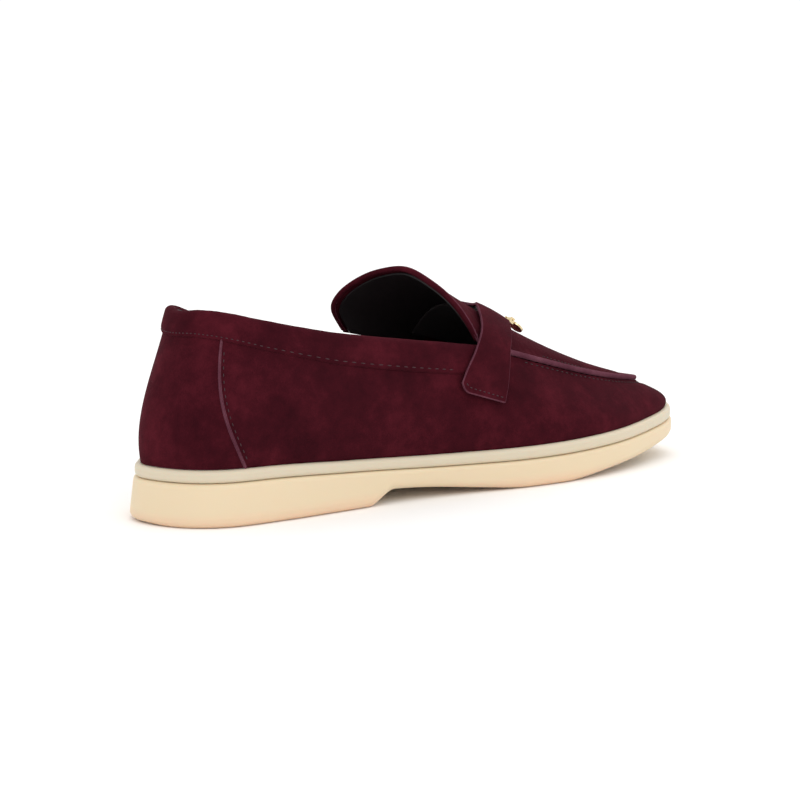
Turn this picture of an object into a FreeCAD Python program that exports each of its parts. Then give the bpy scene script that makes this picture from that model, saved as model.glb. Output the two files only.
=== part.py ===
"""Slip-on penny loafer, right foot, as an assembly of its real pieces.

Frame: millimetres, +X towards the toe, +Y towards the inner (medial) side, +Z up. The origin is the middle
of the ground under the shoe. The upper is drawn on three master skins: the wall that rises from the sole,
the apron on top of the foot, and the tongue behind it. Every leather, lining and stiffener is a layer at
its own depth below (negative) or above (positive) one of those skins.
"""
import FreeCAD
import Part
import math
import os

V = FreeCAD.Vector
doc = FreeCAD.newDocument("penny_loafer")

# ---------------------------------------------------------------- driving dimensions
DIMENSIONS = [
    ("shoe_length", 295.0),        # outsole, heel to toe
    ("welt_overhang", 3.0),        # outsole edge beyond the upper
    ("midsole_inset", 0.9),        # midsole edge inside the outsole edge
    ("sole_edge_round", 1.6),      # rounding along the groove between midsole and outsole
    ("tread_depth", 1.4),
    ("tread_width", 2.2),
    ("tread_pitch", 9.0),
    ("tread_count", 3),
    ("glue_gap", 0.15),            # bond line between flat layers
    ("layer_gap", 0.45),           # bond line between curved layers of the upper
    ("suede_thickness", 1.3),
    ("stiffener_thickness", 1.0),
    ("lining_thickness", 0.9),
    ("board_thickness", 2.0),
    ("foam_thickness", 3.0),
    ("sock_thickness", 1.0),
    ("board_inset", 6.4),          # insole board inside the outer face of the upper
    ("sock_inset", 12.4),          # sock and its foam inside the outer face of the upper
    ("band_thickness", 1.1),       # folded band along the topline
    ("piping_width", 2.6),
    ("thread_width", 0.8),
    ("thread_height", 0.35),
    ("strap_thickness", 1.3),
    ("backing_thickness", 0.7),
    ("shank_length", 104.0),
    ("shank_width", 14.0),
    ("shank_thickness", 1.2),
    ("heel_core_length", 58.0),
    ("heel_core_width", 40.0),
    ("heel_core_height", 9.6),
    ("ball_core_length", 78.0),
    ("ball_core_width", 52.0),
    ("ball_core_height", 1.8),
    ("charm_radius", 3.6),
    ("charm_thickness", 0.9),
    ("charm_reach", 5.2),          # hinge axis to disc centre
    ("charm_pin_radius", 0.4),
    ("charm_eye_radius", 1.0),
    ("charm_eye_clearance", 0.06),
    ("charm_plate_length", 6.4),
    ("charm_plate_width", 3.0),
    ("charm_plate_thickness", 0.5),
]
sheet = doc.addObject("Spreadsheet::Sheet", "dimensions")
for row, (alias, value) in enumerate(DIMENSIONS, start=1):
    sheet.set(f"A{row}", alias)
    sheet.set(f"B{row}", str(value))
    sheet.setAlias(f"B{row}", alias)
doc.recompute()


def size(alias):
    """A driving dimension, read from the sheet."""
    return float(getattr(sheet, alias))


def bind(feature, prop, expression):
    """Binds a property to the sheet, where each @name is a cell's alias."""
    feature.setExpression(prop, expression.replace("@", "dimensions."))


LENGTH_SCALE = size("shoe_length") / 290.0
BLANK_WIDTH = 140.0      # sole blanks start wider than the shoe, then are trimmed to its outline
GAP = size("glue_gap")


# ---------------------------------------------------------------- levels along the shoe
def through(points, x):
    """Height at x of a smooth line through (x, z) points."""
    if x <= points[0][0]:
        return points[0][1]
    if x >= points[-1][0]:
        return points[-1][1]
    i = max(k for k in range(len(points) - 1) if points[k][0] <= x)
    (x0, z0), (x1, z1) = points[i], points[i + 1]
    before = points[i - 1] if i > 0 else points[i]
    after = points[i + 2] if i + 2 < len(points) else points[i + 1]
    slope0 = (z1 - before[1]) / (x1 - before[0])
    slope1 = (after[1] - z0) / (after[0] - x0)
    t = (x - x0) / (x1 - x0)
    width = x1 - x0
    return ((2 * t**3 - 3 * t**2 + 1) * z0 + (t**3 - 2 * t**2 + t) * width * slope0
            + (3 * t**2 - 2 * t**3) * z1 + (t**3 - t**2) * width * slope1)


# Top of the midsole, where the upper sits on it.
FEATHER = [(-146, 23.8), (-100, 23.2), (-60, 21.0), (-20, 18.9), (30, 18.2), (80, 19.4),
           (120, 21.8), (146, 24.6)]
# Groove between midsole and outsole.
GROOVE = [(-146, 18.4), (-100, 17.9), (-60, 15.9), (-20, 13.6), (30, 12.6), (80, 13.8),
          (120, 16.2), (146, 18.8)]
# Underside, from the waist behind the ball to the sprung toe.
WAIST = [(-43, 5.8), (-20, 4.4), (2, 1.9), (22, 0.0)]
TOE_SPRING = [(46, 0.0), (75, 3.0), (100, 5.4), (125, 8.6), (146, 12.4)]
HEEL_BREAST = (-54.0, 0.0)


def feather(x):
    return through(FEATHER, x / LENGTH_SCALE)


# ---------------------------------------------------------------- stations round the upper
# Each station: where the wall meets the sole (x, y), the wall's top edge (x, y, z), and how far
# the wall bellies out between them.
STATIONS = [
    (-141.5, 0.0, -124.5, 0.0, 86.2, 3.8),      # 0 back of the heel
    (-135.5, -20.0, -121.5, -11.8, 87.2, 3.8),
    (-121.0, -31.0, -113.0, -20.5, 86.0, 3.6),
    (-97.0, -33.0, -96.0, -26.0, 81.6, 3.2),
    (-66.0, -33.5, -66.0, -28.8, 74.8, 3.0),    # 4 outer quarter
    (-34.0, -33.5, -33.0, -30.2, 69.4, 3.2),
    (-4.0, -37.0, -4.0, -30.6, 65.2, 2.6),
    (26.0, -42.0, 20.0, -29.6, 61.2, 2.4),      # 7 outer throat, under the strap
    (54.0, -43.5, 48.0, -27.6, 53.4, 3.0),
    (82.0, -40.0, 74.0, -25.0, 46.2, 3.2),
    (108.0, -31.5, 98.0, -20.0, 40.8, 3.2),
    (129.5, -21.0, 116.5, -13.0, 37.6, 3.4),
    (140.0, -8.0, 125.0, -4.0, 36.0, 3.6),
    (142.0, 9.0, 126.0, 5.0, 35.7, 3.6),        # 13 toe
    (139.0, 20.5, 123.5, 13.0, 36.0, 3.6),
    (125.0, 33.5, 113.0, 20.5, 37.8, 3.4),
    (101.0, 42.0, 92.0, 25.5, 42.2, 3.2),
    (73.0, 45.0, 67.0, 27.8, 49.2, 3.2),
    (45.0, 42.0, 41.0, 28.8, 55.0, 2.8),
    (16.0, 34.0, 13.0, 29.8, 60.0, 2.4),        # 19 inner throat, under the strap
    (-12.0, 28.0, -12.0, 30.2, 62.0, 2.4),
    (-40.0, 26.5, -38.0, 29.8, 66.0, 3.0),
    (-68.0, 28.5, -68.0, 28.2, 72.5, 3.0),
    (-97.0, 31.0, -97.0, 25.6, 80.0, 3.2),
    (-119.0, 27.5, -113.0, 19.8, 85.4, 3.6),
    (-133.0, 15.0, -121.5, 11.5, 87.0, 3.8),
]
COUNT = len(STATIONS)
OUTER_THROAT, TOE, INNER_THROAT = 7, 13, 19


def ring(column, u):
    """A column of the station table at u stations round the closed loop, as a smooth periodic curve."""
    i = math.floor(u)
    t = u - i
    p0, p1, p2, p3 = (STATIONS[(i + k) % COUNT][column] for k in (-1, 0, 1, 2))
    return 0.5 * (2 * p1 + (p2 - p0) * t + (2 * p0 - 5 * p1 + 4 * p2 - p3) * t**2
                  + (3 * p1 - p0 - 3 * p2 + p3) * t**3)


def foot_of_wall(u):
    x = ring(0, u) * LENGTH_SCALE
    return V(x, ring(1, u), feather(x) + GAP)


def top_of_wall(u):
    return V(ring(2, u) * LENGTH_SCALE, ring(3, u), ring(4, u))


def outward(u):
    """Level unit vector that points out of the shoe at station u."""
    step = foot_of_wall(u + 0.02) - foot_of_wall(u - 0.02)
    return V(step.y, -step.x, 0).normalize()


def wall(u, v):
    """Outer face of the upper's wall: v is 0 at the sole and 1 at the top edge."""
    low, high = foot_of_wall(u), top_of_wall(u)
    belly = ring(5, u) * 6.75 * v * (1 - v) ** 2
    return low + (high - low) * v + outward(u) * belly


# ---------------------------------------------------------------- apron and tongue skins
# Middle line of the apron from the toe to the throat, and how the throat crosses the instep.
CREST = [V(126, 5, 35.7), V(112, 3.5, 40.8), V(97, 2, 45.2), V(84, 1, 49.8), V(70, 0, 55.6),
         V(56, 0, 62.2), V(42, 0, 69.2), V(28, 0, 76.4), V(17, 0, 82.6)]
RIM = [V(12, -28.8, 64.5), V(8.5, -26.5, 73), V(4, -22, 82), V(-1, -14, 90), V(-7, -2, 96.5),
       V(-14, 8, 95.5), V(-20, 17, 91), V(-25, 23.5, 84.5), V(-25.5, 27.5, 77), V(-18, 29.4, 66)]


def along(points, t):
    """Point at t from 0 to 1 on a smooth open curve through points, evenly spaced in t."""
    s = t * (len(points) - 1)
    i = min(max(int(math.floor(s)), 0), len(points) - 2)
    t = s - i
    p1, p2 = points[i], points[i + 1]
    p0 = points[i - 1] if i > 0 else p1 * 2 - p2
    p3 = points[i + 2] if i + 2 < len(points) else p2 * 2 - p1
    return (p1 * 2 + (p2 - p0) * t + (p0 * 2 - p1 * 5 + p2 * 4 - p3) * t**2
            + (p1 * 3 - p0 - p2 * 3 + p3) * t**3) * 0.5


def across(left, middle, right, w):
    """Arch from left (w -1) through middle (w 0) to right (w 1)."""
    return left * (w * (w - 1) / 2) + middle * (1 - w * w) + right * (w * (w + 1) / 2)


def apron(s, w):
    """Outer face of the apron: s is 0 at the toe and 1 at the throat, w is -1 outer edge to 1 inner edge."""
    left = top_of_wall(TOE - 0.9 - s * (TOE - 0.9 - OUTER_THROAT))
    right = top_of_wall(TOE + 0.9 + s * (INNER_THROAT - TOE - 0.9))
    crest = along([V(p.x * LENGTH_SCALE, p.y, p.z) for p in CREST], s)
    return across(left, crest, right, w)


def tongue(a, w):
    """Outer face of the tongue: a is 0 at the throat and 1 at the rim, w as on the apron."""
    base = apron(1.0, w)
    rim = along([V(p.x * LENGTH_SCALE, p.y, p.z) for p in RIM], (w + 1) / 2)
    return base + (rim - base) * a


# ---------------------------------------------------------------- building layers on a skin
def lifted(skin, p, q, depth, flip=1):
    """Point on skin(p, q) moved depth along its normal."""
    h = 0.004
    along_p = skin(p + h, q) - skin(p - h, q)
    along_q = skin(p, q + h) - skin(p, q - h)
    return skin(p, q) + along_p.cross(along_q).normalize() * depth * flip


def closed_solid(bottom, top):
    """Solid between two grids of points with the same layout."""
    faces = []
    surfaces = []
    for grid in (bottom, top):
        surface = Part.BSplineSurface()
        surface.interpolate(grid)
        surfaces.append(surface)
        faces.append(surface.toShape())
    low, high = surfaces
    u0, u1, v0, v1 = low.bounds()
    m0, m1, n0, n1 = high.bounds()
    for a, b in ((low.uIso(u0), high.uIso(m0)), (low.uIso(u1), high.uIso(m1)),
                 (low.vIso(v0), high.vIso(n0)), (low.vIso(v1), high.vIso(n1))):
        faces.append(Part.makeLoft([Part.Wire(a.toShape()), Part.Wire(b.toShape())], False, True).Faces[0])
    shell = Part.makeShell(faces)
    shell.sewShape()
    solid = Part.Solid(shell)
    if solid.Volume < 0:
        solid.reverse()
    return solid


def layer(skin, region, low, high, rows, columns, flip=1):
    """Solid layer of a skin from depth low to high. region(a, b) maps the unit square to the skin."""
    grids = []
    for depth in (low, high):
        grid = []
        for i in range(rows + 1):
            line = []
            for j in range(columns + 1):
                p, q = region(i / rows, j / columns)
                d = depth(p, q) if callable(depth) else depth
                line.append(lifted(skin, p, q, d, flip))
            grid.append(line)
        grids.append(grid)
    return closed_solid(*grids)


def patch(p0, p1, q0, q1):
    """Region of a skin. The limits p0 and p1 may be functions of q, or else q0 and q1 functions of p."""
    def region(a, b):
        if callable(p0) or callable(p1):
            q = q0 + (q1 - q0) * b
            start = p0(q) if callable(p0) else p0
            end = p1(q) if callable(p1) else p1
            return start + (end - start) * a, q
        p = p0 + (p1 - p0) * a
        low = q0(p) if callable(q0) else q0
        high = q1(p) if callable(q1) else q1
        return p, low + (high - low) * b
    return region


def add(label, *solids):
    """Adds a Part::Feature that holds one or more solids."""
    feature = doc.addObject("Part::Feature", label)
    feature.Label = label
    feature.Shape = solids[0] if len(solids) == 1 else Part.makeCompound(list(solids))
    return feature


# Depths of the layers under the outer face.
OUTER = (-size("suede_thickness"), 0.0)
LAYER_GAP = size("layer_gap")
MIDDLE = (OUTER[0] - LAYER_GAP - size("stiffener_thickness"), OUTER[0] - LAYER_GAP)
INNER = (MIDDLE[0] - LAYER_GAP - size("lining_thickness"), MIDDLE[0] - LAYER_GAP)
BAND = (GAP, GAP + size("band_thickness"))
ON_LEATHER = (GAP, GAP + size("thread_height"))
ON_BAND = (BAND[1] + GAP, BAND[1] + GAP + size("thread_height"))


def counter_seam(side):
    """Seam between the heel cover and the side wall, as a station that depends on height."""
    def station(v):
        return side * (1.93 + 0.42 * (1 - v) ** 1.6 - 0.28 * math.sin(math.pi * v))
    return station


WELT_HALF = 0.045     # half the counter welt, in stations
SEAM_CLEAR = 0.012


def shifted(seam, amount):
    return lambda v: seam(v) + amount


# ---------------------------------------------------------------- flat pieces under the foot
PLANES = {"XY": "XY_Plane", "XZ": "XZ_Plane"}


def body(label):
    piece = doc.addObject("PartDesign::Body", label)
    piece.Label = label
    return piece


def sketch_on(piece, name, plane):
    sketch = piece.newObject("Sketcher::SketchObject", name)
    support = next(f for f in piece.Origin.OriginFeatures if f.Role == PLANES[plane])
    sketch.AttachmentSupport = [(support, "")]
    sketch.MapMode = "FlatFace"
    return sketch


def spline(points):
    curve = Part.BSplineCurve()
    curve.interpolate([V(x, z, 0) for x, z in points])
    return curve


def closed_profile(sketch, curves):
    """Adds curves end to end, joined by straight lines where they don't meet, and closed."""
    for here, there in zip(curves, curves[1:] + curves[:1]):
        sketch.addGeometry(here)
        end = here.value(here.LastParameter)
        start = there.value(there.FirstParameter)
        if (end - start).Length > 1e-6:
            sketch.addGeometry(Part.LineSegment(end, start))


def outline_points(offset):
    """Plan outline of the upper's foot, moved outwards by offset."""
    points = []
    for k in range(COUNT):
        p = foot_of_wall(k) + outward(k) * offset
        points.append(V(p.x, p.y, 0))
    return points


def trim_to_outline(piece, name, offset):
    """Cuts away everything outside the plan outline."""
    sketch = sketch_on(piece, name + "_outline", "XY")
    edge = 200
    corners = [V(-edge, -edge, 0), V(edge, -edge, 0), V(edge, edge, 0), V(-edge, edge, 0)]
    for a, b in zip(corners, corners[1:] + corners[:1]):
        sketch.addGeometry(Part.LineSegment(a, b))
    curve = Part.BSplineCurve()
    curve.interpolate(outline_points(offset), PeriodicFlag=True)
    sketch.addGeometry(curve)
    doc.recompute()
    before = piece.Tip.Shape.Volume
    cut = piece.newObject("PartDesign::Pocket", name + "_trim")
    cut.Profile = sketch
    cut.Type = "ThroughAll"
    cut.Reversed = True
    doc.recompute()
    assert cut.Shape.Volume < before, name
    return cut


def level_line(points, offset, reverse=False):
    """Spline of a level line moved up by offset, over the whole length."""
    moved = [(x * LENGTH_SCALE, z + offset) for x, z in points]
    return spline(moved[::-1] if reverse else moved)


def slab(label, bottom, top, plan_offset):
    """Sheet that follows the sole's pitch: bottom and top are (level points, offset)."""
    piece = body(label)
    sketch = sketch_on(piece, label + "_side", "XZ")
    closed_profile(sketch, [level_line(*bottom), level_line(*top, reverse=True)])
    doc.recompute()
    pad = piece.newObject("PartDesign::Pad", label + "_pad")
    pad.Profile = sketch
    pad.Midplane = True
    pad.Length = BLANK_WIDTH
    doc.recompute()
    trim_to_outline(piece, label, plan_offset)
    return piece


# ---------------------------------------------------------------- sole unit
HEEL_BEVEL = 3.2         # height of the bevel at the back of the heel


def outsole():
    """Rubber outsole: heel block, arched waist, flat ball, sprung toe, and cross grooves for tread."""
    piece = body("outsole")
    side = sketch_on(piece, "outsole_side", "XZ")
    breast = [(x * LENGTH_SCALE, z) for x, z in ((HEEL_BREAST[0], 0.0), WAIST[0])]
    heel_back = (-146 * LENGTH_SCALE, HEEL_BEVEL)
    heel_flat = (-134 * LENGTH_SCALE, 0.0)
    waist = spline([(x * LENGTH_SCALE, z) for x, z in WAIST])
    toe = spline([(x * LENGTH_SCALE, z) for x, z in TOE_SPRING])
    top = level_line(GROOVE, 0, reverse=True)
    straight = [heel_back, heel_flat, breast[0], breast[1]]
    lines = [Part.LineSegment(V(*a, 0), V(*b, 0)) for a, b in zip(straight, straight[1:])]
    flat = Part.LineSegment(V(WAIST[-1][0] * LENGTH_SCALE, 0, 0), V(TOE_SPRING[0][0] * LENGTH_SCALE, 0, 0))
    closed_profile(side, lines + [waist, flat, toe, top])
    doc.recompute()
    pad = piece.newObject("PartDesign::Pad", "outsole_pad")
    pad.Profile = side
    pad.Midplane = True
    pad.Length = BLANK_WIDTH
    doc.recompute()
    trim_to_outline(piece, "outsole", size("welt_overhang"))
    recess(piece, "heel_core_recess", HEEL_CORE, "heel_core")
    recess(piece, "ball_core_recess", BALL_CORE, "ball_core")
    tread(piece)
    return piece


HEEL_CORE = (-104.0, 0.0, 6.0)    # centre x, centre y, floor z
BALL_CORE = (62.0, -1.0, 9.9)
CORE_FIT = 0.3


def oval(sketch, centre, length, width):
    """Ellipse with its long axis along x."""
    sketch.addGeometry(Part.Ellipse(V(centre[0], centre[1], 0), length / 2, width / 2))


def recess(piece, name, centre, alias):
    """Oval pocket, open at the top, that a core drops into."""
    sketch = sketch_on(piece, name + "_plan", "XY")
    sketch.AttachmentOffset = FreeCAD.Placement(V(0, 0, centre[2] - GAP), FreeCAD.Rotation())
    oval(sketch, centre, size(alias + "_length") + 2 * CORE_FIT, size(alias + "_width") + 2 * CORE_FIT)
    doc.recompute()
    before = piece.Tip.Shape.Volume
    cut = piece.newObject("PartDesign::Pocket", name)
    cut.Profile = sketch
    cut.Type = "ThroughAll"
    cut.Reversed = True
    doc.recompute()
    assert cut.Shape.Volume < before, name


def tread(piece):
    """Cross grooves under the ball."""
    sketch = sketch_on(piece, "tread_side", "XZ")
    x0 = (WAIST[-1][0] + 2) * LENGTH_SCALE
    width, depth = size("tread_width"), size("tread_depth")
    corners = [V(x0, -1, 0), V(x0 + width, -1, 0), V(x0 + width, depth, 0), V(x0, depth, 0)]
    for a, b in zip(corners, corners[1:] + corners[:1]):
        sketch.addGeometry(Part.LineSegment(a, b))
    doc.recompute()
    before = piece.Tip.Shape.Volume
    groove = piece.newObject("PartDesign::Pocket", "tread_groove")
    groove.Profile = sketch
    groove.Midplane = True
    groove.Length = BLANK_WIDTH
    doc.recompute()
    pattern = piece.newObject("PartDesign::LinearPattern", "tread_pattern")
    pattern.Originals = [groove]
    pattern.Direction = (sketch, ["H_Axis"])
    bind(pattern, "Occurrences", "@tread_count")
    bind(pattern, "Length", "@tread_pitch * (@tread_count - 1)")
    piece.Tip = pattern
    doc.recompute()
    assert pattern.Shape.Volume < before


def core(label, centre):
    """Light foam core that fills a recess in the outsole."""
    piece = body(label)
    sketch = sketch_on(piece, label + "_plan", "XY")
    sketch.AttachmentOffset = FreeCAD.Placement(V(0, 0, centre[2]), FreeCAD.Rotation())
    oval(sketch, centre, size(label + "_length"), size(label + "_width"))
    pad = piece.newObject("PartDesign::Pad", label + "_pad")
    pad.Profile = sketch
    bind(pad, "Length", f"@{label}_height")
    return piece


def strip_profile(sketch, x0, x1, low, high):
    """Closed band that follows the feather line from x0 to x1, between two offsets from it."""
    steps = 6
    xs = [x0 + (x1 - x0) * k / steps for k in range(steps + 1)]
    lower = spline([(x, feather(x) + low) for x in xs])
    upper = spline([(x, feather(x) + high) for x in reversed(xs)])
    closed_profile(sketch, [lower, upper])


SHANK_CENTRE = -42.0
SHANK_FIT = 0.3


def midsole():
    """Pale rubber midsole, with a slot in its top for the shank."""
    piece = slab("midsole", (GROOVE, GAP), (FEATHER, 0), size("welt_overhang") - size("midsole_inset"))
    sketch = sketch_on(piece, "shank_slot_side", "XZ")
    half = size("shank_length") / 2 + SHANK_FIT
    strip_profile(sketch, SHANK_CENTRE - half, SHANK_CENTRE + half, -size("shank_thickness") - 2 * GAP, 2.0)
    doc.recompute()
    before = piece.Tip.Shape.Volume
    slot = piece.newObject("PartDesign::Pocket", "shank_slot")
    slot.Profile = sketch
    slot.Midplane = True
    slot.Length = size("shank_width") + 2 * SHANK_FIT
    doc.recompute()
    assert slot.Shape.Volume < before
    return piece


def shank():
    """Spring steel strip that stiffens the waist."""
    piece = body("shank")
    sketch = sketch_on(piece, "shank_side", "XZ")
    half = size("shank_length") / 2
    strip_profile(sketch, SHANK_CENTRE - half, SHANK_CENTRE + half, -size("shank_thickness") - GAP, -GAP)
    pad = piece.newObject("PartDesign::Pad", "shank_pad")
    pad.Profile = sketch
    pad.Midplane = True
    bind(pad, "Length", "@shank_width")
    return piece


outsole()
core("heel_core", HEEL_CORE)
core("ball_core", BALL_CORE)
midsole()
shank()
BOARD_TOP = GAP + size("board_thickness")
FOAM_TOP = BOARD_TOP + GAP + size("foam_thickness")
slab("insole_board", (FEATHER, GAP), (FEATHER, BOARD_TOP), -size("board_inset"))
slab("sock_foam", (FEATHER, BOARD_TOP + GAP), (FEATHER, FOAM_TOP), -size("sock_inset"))
slab("sock_liner", (FEATHER, FOAM_TOP + GAP), (FEATHER, FOAM_TOP + GAP + size("sock_thickness")),
     -size("sock_inset"))


# ---------------------------------------------------------------- upper
SEAM_PULL = 1.5      # leather edges stop this far short of the apron seam
LINING_PULL = 3.4


def wall_height(u):
    return (top_of_wall(u) - foot_of_wall(u)).Length


def front_share(u):
    """0 along the open topline and 1 along the apron seam, with a short blend at each throat."""
    blend = 0.3
    rise = min(max((u - OUTER_THROAT + blend) / blend, 0), 1)
    fall = min(max((INNER_THROAT + blend - u) / blend, 0), 1)
    share = min(rise, fall)
    return share * share * (3 - 2 * share)


def wall_limit(pull_rear, pull_front):
    """Upper limit of a wall layer as a share of its height."""
    def limit(u):
        front = front_share(u % COUNT)
        return 1 - (pull_rear * (1 - front) + pull_front * front) / wall_height(u)
    return limit


def band_edge(u):
    """Lower edge of the topline band as a share of the wall's height."""
    around = min(u % COUNT, COUNT - u % COUNT)
    width = 10.0 + 2.8 * min(around / 4.0, 1.0)
    return 1 - width / wall_height(u)


outer_seam = counter_seam(1)
inner_seam = counter_seam(-1)
inner_seam_round = shifted(inner_seam, COUNT)


def between_seams(u0, u1, limit):
    """Region from one counter seam to the other round the toe, up to a limit that depends on the station."""
    def region(a, b):
        u = u0(0) + (u1(0) - u0(0)) * a
        v = b * limit(u)
        return u0(v) + (u1(v) - u0(v)) * a, v
    return region


side_region = between_seams(shifted(outer_seam, SEAM_CLEAR), shifted(inner_seam_round, -SEAM_CLEAR),
                            wall_limit(0, SEAM_PULL))
add("side_wall", layer(wall, side_region, *OUTER, 130, 10))
add("heel_cover", layer(wall, patch(shifted(inner_seam, SEAM_CLEAR), shifted(outer_seam, -SEAM_CLEAR), 0, 1),
                        *OUTER, 30, 10))
add("heel_counter", layer(wall, patch(-2.6, 2.6, 0.03, 0.78), *MIDDLE, 36, 8))
add("toe_puff", layer(wall, patch(TOE - 3.2, TOE + 3.2, 0.08, 0.72), *MIDDLE, 40, 8))
add("collar_foam", layer(wall, patch(-5.9, 6.5, 0.80, lambda u: 1 - 2.6 / wall_height(u)), *MIDDLE, 76, 3))
add("topline_tape", layer(wall, patch(-5.9, 6.5, lambda u: 1 - 2.3 / wall_height(u),
                                      lambda u: 1 - 0.5 / wall_height(u)), *MIDDLE, 76, 2))
LINING_SPLIT = 6.75
quarter_region = patch(-5.75, LINING_SPLIT, 0.03, wall_limit(0.4, LINING_PULL))
vamp_region = patch(LINING_SPLIT + 0.02, COUNT - 5.77, 0.03, wall_limit(LINING_PULL, LINING_PULL))
add("quarter_lining", layer(wall, quarter_region, *INNER, 76, 8))
add("vamp_lining", layer(wall, vamp_region, *INNER, 80, 8))
GRIP = (INNER[0] - 0.3 - 0.8, INNER[0] - 0.3)
add("heel_grip", layer(wall, patch(-2.1, 2.1, 0.36, 0.95), *GRIP, 28, 6))
add("topline_band", layer(wall, patch(-6.7, 7.0, band_edge, 1.0), *BAND, 84, 3))


def on_apron(inset_mm, s0, s1):
    """Region of the apron, inset from its long edges."""
    def region(a, b):
        s = s0 + (s1 - s0) * a
        half = (apron(s, 1) - apron(s, -1)).Length / 2
        w = (1 - inset_mm / half) * (2 * b - 1)
        return s, w
    return region


add("apron", layer(apron, on_apron(SEAM_PULL, 0.02, 1.0), *OUTER, 28, 12, -1))
add("apron_lining", layer(apron, on_apron(LINING_PULL + 1.0, 0.06, 0.99), *INNER, 24, 10, -1))


# ---------------------------------------------------------------- throat and tongue
FLEX_LINE = 0.30       # share of the tongue below the line where it bends, at the middle
FLEX_CURVE = 0.50
FLEX_GAP = (0.02, 0.25)
FLAP_HALF = 0.85


def flex_line(w):
    return FLEX_LINE + FLEX_CURVE * w * w


def below_flex(w):
    return flex_line(w) - FLEX_GAP[0] - FLEX_GAP[1] * w * w


TONGUE_LINING = (OUTER[0] - GAP - size("lining_thickness"), OUTER[0] - GAP)
add("throat_panel", layer(tongue, patch(lambda w: 0.03, below_flex, -0.84, 0.84), *OUTER, 6, 16, -1))
add("tongue_outer", layer(tongue, patch(flex_line, lambda w: 1.0, -FLAP_HALF, FLAP_HALF), *OUTER, 10, 16, -1))
add("tongue_lining", layer(tongue, patch(lambda w: flex_line(w) + 0.03, lambda w: 0.97, -0.80, 0.80),
                           *TONGUE_LINING, 8, 16, -1))


def bead(path, radius, count):
    """Round cord along a path. path(k) gives its centre and the direction its crown faces, k from 0 to 1."""
    flat = math.radians(12)
    grids = []
    for start, end in ((math.pi + flat, 2 * math.pi - flat), (math.pi - flat, flat)):
        grid = []
        for i in range(count + 1):
            k = i / count
            centre, crown = path(k)
            step = path(min(k + 0.002, 1))[0] - path(max(k - 0.002, 0))[0]
            side = crown.cross(step).normalize()
            up = step.cross(side).normalize()
            line = []
            for j in range(7):
                angle = start + (end - start) * j / 6
                line.append(centre + side * radius * math.cos(angle) + up * radius * math.sin(angle))
            grid.append(line)
        grids.append(grid)
    return closed_solid(*grids)


def normal_of(skin, p, q, flip):
    return (lifted(skin, p, q, 1.0, flip) - skin(p, q)).normalize()


def apron_seam(k):
    """Seam between wall and apron from the outer throat round the toe to the inner throat."""
    u = OUTER_THROAT + 0.12 + (INNER_THROAT - OUTER_THROAT - 0.24) * k
    crown = (normal_of(wall, u, 0.97, 1) + V(0, 0, 1)).normalize()
    return top_of_wall(u) + crown * 0.2, crown


def rim_line(k):
    """Edge of the tongue."""
    w = FLAP_HALF * (2 * k - 1)
    outwards = (tongue(1.0, w) - tongue(0.9, w)).normalize()
    return lifted(tongue, 1.0, w, -0.9, -1) + outwards * 1.4, outwards


add("apron_piping", bead(apron_seam, size("piping_width") / 2 - 0.15, 80))
add("tongue_binding", bead(rim_line, 1.05, 30))


# ---------------------------------------------------------------- saddle strap
STRAP_CLEAR = 0.35     # air between the strap and the topline band
STRAP_LIFT = 1.0       # strap above the apron and the tongue
STRAP_CROWN = 2.4


def strap_anchors():
    """Rear and front edges of the strap, from its outer end over the instep to its inner end."""
    on_wall = BAND[1] + STRAP_CLEAR
    on_top = STRAP_LIFT
    rear = [(wall, 5.92, 0.57, on_wall, 1), (wall, 6.16, 0.78, on_wall, 1), (wall, 6.44, 0.98, on_wall, 1),
            (tongue, 0.50, -0.80, on_top, -1), (apron, 0.955, -0.40, on_top, -1),
            (apron, 0.86, 0.0, on_top, -1), (apron, 0.955, 0.40, on_top, -1),
            (tongue, 0.28, 0.80, on_top, -1), (wall, 19.42, 0.98, on_wall, 1),
            (wall, 19.72, 0.78, on_wall, 1), (wall, 20.00, 0.57, on_wall, 1)]
    front = [(wall, 6.76, 0.44, on_wall, 1), (wall, 6.95, 0.64, on_wall, 1), (wall, 7.22, 0.97, on_wall, 1),
             (apron, 0.89, -0.80, on_top, -1), (apron, 0.78, -0.40, on_top, -1),
             (apron, 0.68, 0.0, on_top, -1), (apron, 0.78, 0.40, on_top, -1),
             (apron, 0.89, 0.80, on_top, -1), (wall, 18.62, 0.97, on_wall, 1),
             (wall, 18.86, 0.64, on_wall, 1), (wall, 19.06, 0.44, on_wall, 1)]
    return ([lifted(*anchor) for anchor in rear], [lifted(*anchor) for anchor in front])


STRAP_REAR, STRAP_FRONT = strap_anchors()


def strap(k, m):
    """Underside of the strap: k runs from its outer to its inner end, m from its rear to its front edge."""
    rear, front = along(STRAP_REAR, k), along(STRAP_FRONT, k)
    middle = V(0, 0, 1) * STRAP_CROWN * m * (1 - m) * math.sin(math.pi * k)
    return rear + (front - rear) * m + middle


BACKING = (0.0, size("backing_thickness"))
STRAP = (BACKING[1] + GAP, BACKING[1] + GAP + size("strap_thickness"))
ON_STRAP = (STRAP[1] + GAP, STRAP[1] + GAP + size("thread_height"))
add("saddle_strap", layer(strap, patch(0.0, 1.0, 0.0, 1.0), *STRAP, 44, 8, -1))
add("strap_backing", layer(strap, patch(0.02, 0.98, 0.05, 0.95), *BACKING, 44, 8, -1))


# ---------------------------------------------------------------- seams and stitches
def seam_cover(side):
    """Narrow raised edge where the side wall laps the heel cover."""
    seam = counter_seam(side)
    return layer(wall, patch(shifted(seam, -WELT_HALF), shifted(seam, WELT_HALF), 0.02,
                             band_edge(2.1) - 0.02), GAP, 0.75, 2, 12)


add("heel_seam_welt", seam_cover(1), seam_cover(-1))


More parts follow.
